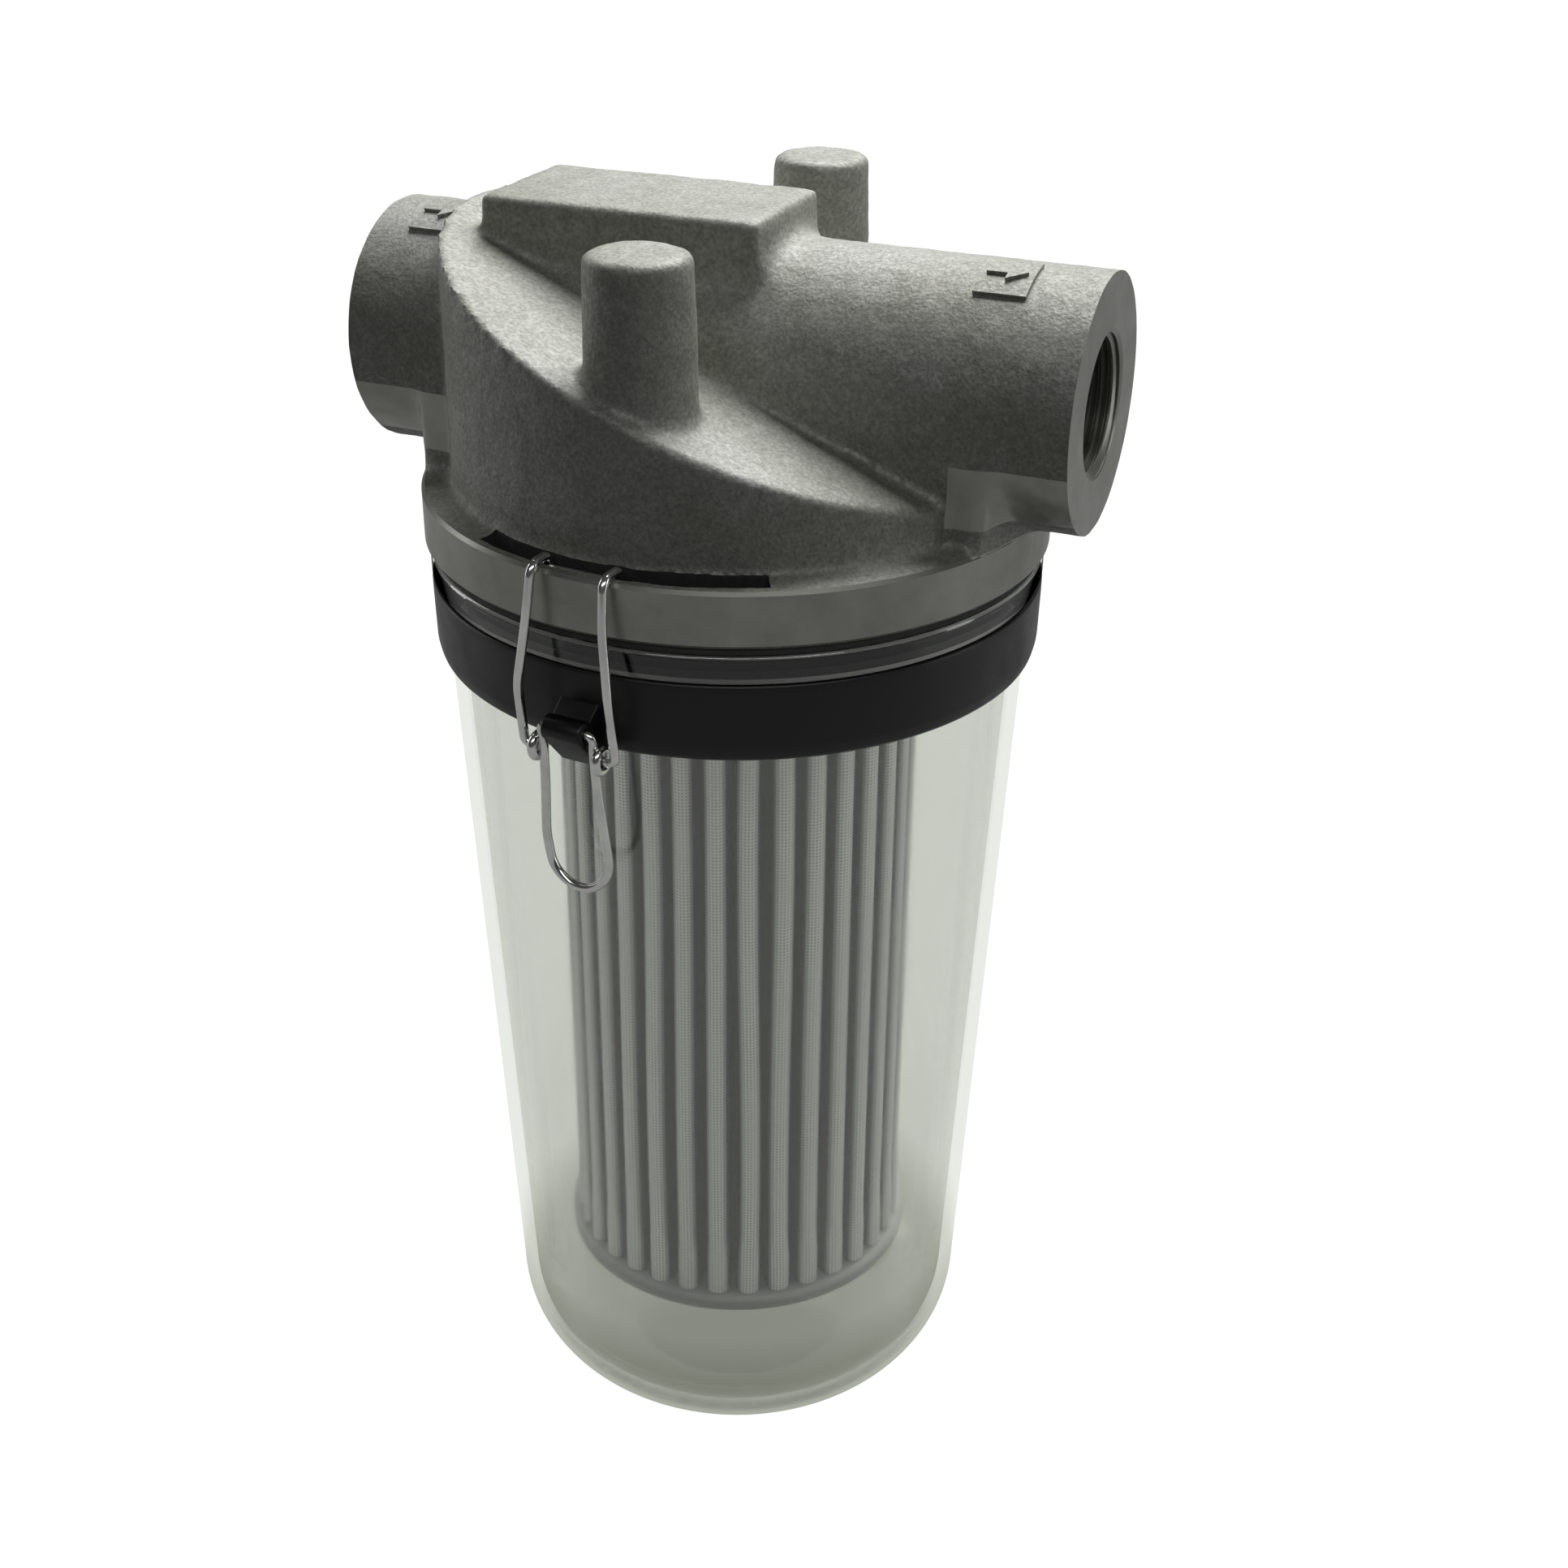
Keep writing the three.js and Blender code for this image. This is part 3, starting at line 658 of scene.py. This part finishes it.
def clear_polycarbonate():
    """Clear polycarbonate, a little grey. Its flange is tinted almost black, painted shade for how it
    looks seen edge on, between two painted highlight lines, and the rounded end is tinted greyer
    than the wall as painted shade. Where it is seen at a slant it only tints, so its outline stays
    soft. Lamps shine through and light the inside."""
    made, tree, shader, place = new_material(
        "clear_polycarbonate", **{"Transmission Weight": 0.97, "IOR": 1.585},
    )
    where = place.outputs["Object"]
    height = add(tree, "SeparateXYZ", links={0: where}).outputs["Z"]
    share = add(tree, "MapRange", {1: 0.0, 2: flange_top * MM, 3: 0.0, 4: 1.0}, {0: height})
    edge = (ring_height + bowl_flange - bowl_top) / flange_top
    # Painted shade: the rounded end is tinted greyer towards the bottom, and the flange band above the ring
    # is tinted almost black.
    tint_with_painted_shade = ramp(tree, share.outputs[0], [
        (0.0, "95998e"), (0.09, "b6b9ae"), (0.17, "e2e4df"),
        (1 - edge + 0.045, "e2e4df"), (1 - edge + 0.06, "1c1e1c"), (1.0, "1c1e1c"),
    ])
    # Painted highlights: two thin pale bands at the flange's lower and upper edges, made less clear than
    # the rest of the bowl.
    ring_painted_highlight = (flange_top + bowl_top - bowl_flange + 0.9) * MM
    top_painted_highlight = (flange_top + bowl_top - 0.5) * MM
    line = maths(
        tree, "MAXIMUM", maths(tree, "COMPARE", height, ring_painted_highlight, 0.8 * MM),
        maths(tree, "COMPARE", height, top_painted_highlight, 0.35 * MM),
    )
    tint_with_painted_light = add(tree, "Mix", {7: linear("e6e8e4")}, {0: line, 6: tint_with_painted_shade}, data_type="RGBA").outputs[2]
    tree.links.new(tint_with_painted_light, shader.inputs["Base Color"])
    clarity = add(tree, "MapRange", {3: 0.97, 4: 0.2}, {0: line})
    tree.links.new(clarity.outputs[0], shader.inputs["Transmission Weight"])
    haze = add(tree, "TexNoise", {"Scale": 1 / 0.02, "Detail": 3}, {"Vector": where})
    rough = add(tree, "MapRange", {1: 0.3, 2: 0.7, 3: 0.03, 4: 0.08}, {0: haze.outputs["Fac"]})
    tree.links.new(rough.outputs[0], shader.inputs["Roughness"])
    facing = add(tree, "LayerWeight", {"Blend": 0.5}).outputs["Facing"]
    from_inside = add(tree, "NewGeometry").outputs["Backfacing"]
    bent_inside = 0.38
    slant = maths(tree, "MULTIPLY_ADD", from_inside, bent_inside, facing)
    skimming = add(tree, "MapRange", {1: 0.56, 2: 0.76}, {0: slant}).outputs[0]
    half_tint = add(tree, "Gamma", {1: 0.5}, {0: tint_with_painted_light}).outputs[0]
    soft_edge = add(tree, "BsdfTransparent", links={"Color": half_tint}).outputs[0]
    body = add(tree, "MixShader", links={0: skimming, 1: shader.outputs[0], 2: soft_edge}).outputs[0]
    clear = add(tree, "BsdfTransparent", {"Color": linear("e6e8e5")}).outputs[0]
    ray = add(tree, "LightPath")
    passing = maths(tree, "MAXIMUM", ray.outputs["Is Shadow Ray"], ray.outputs["Is Diffuse Ray"])
    mix = add(tree, "MixShader", links={0: passing, 1: body, 2: clear})
    tree.links.new(mix.outputs[0], tree.nodes["Material Output"].inputs["Surface"])
    return made


finished(
    to_object("clear_bowl", lathe(bowl_profile(), 160)),
    "bowl_unit", "clear_bowl", clear_polycarbonate(), sharp=50, replaces=["bowl"],
)

# ---- retaining ring -----------------------------------------------------------------------
# Black glass-filled nylon, moulded. It lifts the bowl by its flange, and a barrel-shaped lug
# for each clip stands out of it.
ring_inner = bowl_neck + 0.3
clip_turn = radians(-5)
pivot_radius = flange_radius + 4.5
pivot_drop = 35.0
lug_half = 5.0


def ring_lug():
    """One lug: its side outline pulled to its width, with softened edges."""
    barrel = 3.0
    first, last = -0.5, 0.75 * pi
    arc = [first + i * (last - first) / 12 for i in range(13)]
    outline = [(ring_inner + 1.1, -pivot_drop + 2 * barrel), (ring_inner + 1.1, ring_bottom + 1.8),
               (bowl_rim + 0.6, ring_bottom - 3.6)]
    outline += [(pivot_radius + barrel * cos(t), -pivot_drop + barrel * sin(t)) for t in arc]
    bm = prism(outline, -lug_half, lug_half)
    rims = [e for e in bm.edges if abs(abs(e.verts[0].co.y) - lug_half) < 1e-3
            and abs(e.verts[0].co.y - e.verts[1].co.y) < 1e-3]
    bmesh.ops.bevel(bm, geom=rims, offset=0.5, segments=3, affect="EDGES", profile=0.5, material=-1)
    moved(bm, Matrix.Rotation(-pi / 2, 4, "Z"))
    return bm


def retaining_ring():
    """The ring with both lugs, each bored for its lever."""
    profile = [
        (ring_inner, ring_bottom), (bowl_rim - 2.0, ring_bottom), (bowl_rim - 0.9, ring_bottom + 0.9),
        (bowl_rim - 0.25, ring_bottom + 3.6), (bowl_rim, ring_top - 3.2), (bowl_rim, ring_top),
        (ring_inner, ring_top),
    ]
    bore_radius = 1.4
    obj = to_object("clip_ring", lathe(rounded(profile, 0.8, 3), 160))
    for turn in (clip_turn, clip_turn + pi):
        combine(obj, moved(ring_lug(), Matrix.Rotation(turn, 4, "Z")), "UNION")
        bore = plug(bore_radius, -12, 12, 24)
        moved(bore, Matrix.Translation((0, -pivot_radius, -pivot_drop)) @ Matrix.Rotation(pi / 2, 4, "Y"))
        combine(obj, moved(bore, Matrix.Rotation(turn, 4, "Z")), "DIFFERENCE")
    return obj


def glass_filled_nylon():
    """Black glass-filled nylon: satin, with the faint orange peel of a moulded skin."""
    made, tree, shader, place = mottled(
        "glass_filled_nylon", 0.012, ((0.35, "070708"), (0.7, "0d0e10")), (0.34, 0.5), 5, 0.6,
        **{"Specular IOR Level": 0.35},
    )
    peel = add(tree, "TexNoise", {"Scale": 1 / 0.0014, "Detail": 3}, {"Vector": place.outputs["Object"]})
    bump = add(tree, "Bump", {"Strength": 0.3, "Distance": 0.00008}, {"Height": peel.outputs["Fac"]})
    tree.links.new(bump.outputs[0], shader.inputs["Normal"])
    return made


nylon = glass_filled_nylon()
finished(retaining_ring(), "bowl_unit", "ring", nylon, replaces=["retaining_ring"])

# ---- wire clips ---------------------------------------------------------------------------
# Two over-centre clips bent from drawn stainless spring wire. The lever's ends turn in the
# ring's lug, and the bail hangs in the lever's two eyes and hooks over the head's rim.
wire_radius = 1.1
eye_radius = 79.4
eye_height = -41.0
eye_loop = 2.6
lever_side = lug_half + 1.6
eye_side = lever_side + 1.7


def drawn_wire(name, corners, bend, turn):
    """A round wire through [x, distance from the axis, z] corners, each one rounded."""
    corners = [Vector((x, -radius, z)) for x, radius, z in corners]
    points = [corners[0]]
    for before, corner, after in zip(corners, corners[1:], corners[2:]):
        reach = min(bend, (before - corner).length / 2, (after - corner).length / 2)
        points += corner_bend(before, corner, after, reach, 8)
    points.append(corners[-1])
    spacing = 0.15
    kept = [points[0]]
    for point in points[1:]:
        if (point - kept[-1]).length > spacing:
            kept.append(point)
    return swept(name, kept, turn, False)


def swept(name, points, turn, closed):
    """The wire's round section run along points, as one closed mesh."""
    curve = bpy.data.curves.new(name, "CURVE")
    curve.dimensions = "3D"
    curve.bevel_depth = wire_radius
    curve.bevel_resolution = 4
    curve.use_fill_caps = not closed
    spline = curve.splines.new("POLY")
    spline.points.add(len(points) - 1)
    for place, point in zip(spline.points, points):
        place.co = (*(Matrix.Rotation(turn, 3, "Z") @ point), 1)
    spline.use_cyclic_u = closed
    shape = bpy.data.objects.new(name, curve)
    bpy.context.scene.collection.objects.link(shape)
    view = bpy.context.evaluated_depsgraph_get()
    data = bpy.data.meshes.new_from_object(shape.evaluated_get(view))
    bpy.data.objects.remove(shape)
    bpy.data.curves.remove(curve)
    bm = bmesh.new()
    bm.from_mesh(data)
    bmesh.ops.remove_doubles(bm, verts=bm.verts, dist=1e-3)
    bmesh.ops.recalc_face_normals(bm, faces=bm.faces)
    bm.to_mesh(data)
    bm.free()
    obj = bpy.data.objects.new(name, data)
    bpy.context.scene.collection.objects.link(obj)
    return obj


def mirrored(half):
    """Half of a wire's corners, followed by the same corners on the other side."""
    return half + [(-x, radius, z) for x, radius, z in reversed(half)]


def eye_ring(side, turn):
    """The loop in one leg of a lever that the bail's foot turns in."""
    points = [
        Vector((side * eye_side, -eye_radius + eye_loop * cos(t), eye_height + eye_loop * sin(t)))
        for t in [2 * pi * i / 28 for i in range(28)]
    ]
    return swept("eye", points, turn, True)


def lever(name, turn):
    """From the ring's lug out to each eye, and down to a rounded finger loop."""
    loop_bottom = -pivot_drop - 42
    loop_half = 8.0
    obj = drawn_wire(name, mirrored([
        (lug_half - 1.5, pivot_radius, -pivot_drop),
        (lever_side, pivot_radius, -pivot_drop),
        (lever_side, eye_radius + 0.4, eye_height),
        (lever_side + 0.2, eye_radius, eye_height - 8),
        (loop_half, pivot_radius - 2.2, -64),
    ] + [
        (loop_half * cos(t), pivot_radius - 3.2, loop_bottom + loop_half * (1 - sin(t)))
        for t in (0, pi / 8, pi / 4, 3 * pi / 8, 0.46 * pi)
    ]), 5.0, turn)
    for side in (-1, 1):
        eye = eye_ring(side, turn)
        bm = bmesh.new()
        bm.from_mesh(eye.data)
        bpy.data.meshes.remove(eye.data)
        combine(obj, bm, "UNION")
    return obj


def bail(name, turn):
    """From a foot in each eye up over the rim, and down into the pocket behind it."""
    hook_half, hook_radius, over_rim = 9.0, 71.3, 1.4
    return drawn_wire(name, mirrored([
        (lever_side + 1.5, eye_radius, eye_height),
        (11.8, eye_radius, eye_height),
        (11.6, 81.4, -26),
        (9.6, 79.6, -10),
        (hook_half, flange_radius + 1.7, over_rim),
        (hook_half, hook_radius, over_rim),
        (hook_half, hook_radius, -1.6),
    ]), 2.8, turn)


bright_wire = mottled(
    "spring_wire", 0.006, ((0.3, "c2c3c2"), (0.7, "d8d8d5")), (0.14, 0.22), 3, Metallic=1.0,
)[0]
for end, turn in (("front", clip_turn), ("rear", clip_turn + pi)):
    finished(lever(f"{end}_lever_wire", turn), f"{end}_lever", "spring_wire", bright_wire,
             sharp=60, replaces=[f"lever_{end}"])
    finished(bail(f"{end}_bail_wire", turn), f"{end}_bail", "spring_wire", bright_wire,
             sharp=60, replaces=[f"bail_{end}"])

# ---- pleated mesh -------------------------------------------------------------------------
# Woven stainless mesh folded into round-nosed pleats and bonded at both ends, where the
# folds spread a little into the caps.
pleat_count = 34
pleat_outer = 46.0
pleat_inner = 33.5
media_top = -40.3
media_bottom = -218.7
media_thickness = 0.5
spread_height = 20.0
spread_most = 0.4
wire_pitch = 0.0009


def pleat_outline(swell, drift):
    """One turn of the folded sheet at one height, as points in the XY plane."""
    points = []
    step = 2 * pi / pleat_count
    for i in range(pleat_count):
        lean = drift * noise.noise(Vector((i * 7.3, swell, 0.5)))
        half = step * (0.47 + 0.03 * noise.noise(Vector((i * 3.1, 2.0, 0.0))))
        nose = (pleat_outer + swell) * sin(half) * 0.8
        for share in range(9):
            t = -pi / 2 + pi * share / 8
            points.append((pleat_outer + swell - nose + nose * cos(t), nose * sin(t), i * step + lean))
        points.append((pleat_inner, 0.42 * pleat_inner * step, i * step + lean))
        points.append((pleat_inner, -0.42 * pleat_inner * step, (i + 1) * step + lean))
    return [
        Vector((r * cos(a) - w * sin(a), r * sin(a) + w * cos(a), 0)) for r, w, a in points
    ]


def pleated_sheet():
    """The sheet, ring by ring from the lower cap up, with map coordinates in metres along it."""
    bm = bmesh.new()
    heights = [media_bottom + rise for rise in (0, 5, 10, 12, 14, 16, 18, spread_height)]
    even_height = media_top - media_bottom - spread_height
    heights += [media_bottom + spread_height + even_height * i / 12 for i in range(1, 13)]
    rings = []
    for height in heights:
        spread = min(1.0, max(0.0, (spread_height - (height - media_bottom)) / 12))
        swell = spread_most * spread ** 2 * (3 - 2 * spread)
        drift = 0.014 * sin((height - media_bottom) / (media_top - media_bottom) * 2 * pi)
        rings.append([bm.verts.new(p + Vector((0, 0, height))) for p in pleat_outline(swell, drift)])
    uv = bm.loops.layers.uv.new("weave")
    count = len(rings[0])
    along = [0.0]
    for i in range(count):
        along.append(along[-1] + (rings[-1][(i + 1) % count].co - rings[-1][i].co).length)
    for low, high, z_low, z_high in zip(rings, rings[1:], heights, heights[1:]):
        for i in range(count):
            j = (i + 1) % count
            face = bm.faces.new((low[i], low[j], high[j], high[i]))
            for loop, spot in zip(face.loops, ((i, z_low), (i + 1, z_low), (i + 1, z_high), (i, z_high))):
                loop[uv].uv = (along[spot[0]] * MM, spot[1] * MM)
    bmesh.ops.recalc_face_normals(bm, faces=bm.faces)
    obj = to_object("mesh_pleats", bm)
    wall = obj.modifiers.new("sheet", "SOLIDIFY")
    wall.thickness = media_thickness
    wall.offset = -1
    settle(obj)
    return obj


def woven_mesh():
    """Woven stainless mesh, with painted shade that darkens it down in the folds by distance from
    the axis. The real wires are a third of a millimetre apart, and are drawn at nine tenths so
    that they show."""
    made, tree, shader, place = new_material("woven_mesh", Metallic=0.35, Roughness=0.5)
    wires = add(tree, "UVMap", uv_map="weave")
    bands = [
        add(tree, "TexWave", {"Scale": 1 / (pi * wire_pitch), "Distortion": 0.3, "Detail": 1},
            {"Vector": wires.outputs[0]}, bands_direction=direction).outputs["Fac"]
        for direction in ("X", "Y")
    ]
    height = maths(tree, "MAXIMUM", *bands)
    flat = add(tree, "VectorMath", {1: (1, 1, 0)}, {0: place.outputs["Object"]}, operation="MULTIPLY")
    from_axis = add(tree, "VectorMath", links={0: flat.outputs[0]}, operation="LENGTH").outputs["Value"]
    fold = add(tree, "MapRange", {1: (pleat_outer - 2.8) * MM, 2: (pleat_outer + 1.1) * MM}, {0: from_axis})
    # Painted shade: black deep in the folds, rising to the mesh's full colour on the pleats' noses, by
    # distance from the axis.
    fold_painted_shade = ramp(tree, fold.outputs[0], [(0.0, "040504"), (0.30, "3e403e"), (0.62, "ffffff")])
    gaps = ramp(tree, height, [(0.2, "8c8c8c"), (0.8, "ffffff")])
    colour = add(tree, "Mix", {0: 0.8}, {6: fold_painted_shade, 7: gaps}, data_type="RGBA", blend_type="MULTIPLY")
    tree.links.new(colour.outputs[2], shader.inputs["Base Color"])
    bump = add(tree, "Bump", {"Strength": 0.5, "Distance": 0.0002}, {"Height": height})
    tree.links.new(bump.outputs[0], shader.inputs["Normal"])
    return made


finished(pleated_sheet(), "element", "mesh", woven_mesh(), sharp=60, replaces=["element_media"])

# ---- element caps -------------------------------------------------------------------------
# Pale grey caps moulded in ABS and bonded to the pleats. The top one has a collar for the
# spigot seal, and the bottom one a tapered cup that holds the foot of the magnet rod.
cap_plastic = mottled("grey_abs", 0.009, ((0.3, "d3d7d3"), (0.7, "dde1dd")), (0.35, 0.5))[0]
cap_radius, cap_top, cap_low = 48.2, -219, -223
cup_foot, cup_mouth, cup_bore, cup_low, cup_floor = 12.5, 19.0, 9.8, -239, 4
disc_top, disc_low, lip_low, lip_inner, lip_outer = -35, -40, -43, 46.3, 47.6
collar_outer, collar_inner, collar_top, spigot_hole = 28.1, 24.1, -24, 20.9


def cap_profile(points, radius=0.7, steps=3):
    """Rounds every corner but the two that lie on the axis, where there are any."""
    soft = rounded(points, radius, steps)
    if points[0][0] > 0:
        return soft
    return [points[0]] + soft[steps + 1:-steps - 1] + [points[-1]]


bottom_points = [
    (0, cup_low), (cup_foot, cup_low), (cup_mouth, cap_low), (cap_radius, cap_low),
    (cap_radius, cap_top - 1.2), (cap_radius - 1.2, cap_top), (cup_bore, cap_top),
    (cup_bore, cup_low + cup_floor), (0, cup_low + cup_floor),
]
top_points = [
    (spigot_hole, disc_low), (lip_inner, disc_low), (lip_inner, lip_low), (lip_outer, lip_low),
    (lip_outer, disc_top), (collar_outer, disc_top), (collar_outer, collar_top),
    (collar_inner, collar_top), (collar_inner, disc_top), (spigot_hole, disc_top),
]
for name, points, node in (
    ("lower_cap", bottom_points, "element_bottom_cap"), ("upper_cap", top_points, "element_top_cap"),
):
    cap = to_object(name, lathe(cap_profile(points), 128))
    finished(cap, "element", "end_cap", cap_plastic, replaces=[node])

# ---- core, seal and magnet rod ------------------------------------------------------------
# Inside the pleats: a perforated stainless tube, and a stack of nickel-plated magnets and
# steel pole plates in a thin stainless sleeve, closed by nylon plugs.


def bare_metal(name, dark, light, roughness):
    """Metal with faint handling marks a few millimetres across."""
    return mottled(name, 0.004, ((0.3, dark), (0.7, light)), roughness, 5, Metallic=1.0)[0]


rolled_tube = bare_metal("rolled_stainless", "9ea0a2", "bfc1c2", (0.25, 0.4))
nickel = bare_metal("nickel_plate", "9b968a", "b8b3a6", (0.2, 0.35))
mild_steel = bare_metal("turned_mild_steel", "77787a", "96979a", (0.3, 0.45))
inner = {
    "element_core": rolled_tube, "magnet_sleeve": rolled_tube, "element_gasket": rubber,
    "rod_spider": nylon, "magnet_plug_bottom": nylon, "magnet_plug_top": nylon,
}
inner.update({name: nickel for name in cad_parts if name.removeprefix("magnet_").isdigit()})
inner.update({name: mild_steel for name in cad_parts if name.startswith("pole_plate_")})
for name, made in inner.items():
    node_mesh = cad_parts[name].data
    node_mesh.materials.clear()
    node_mesh.materials.append(made)
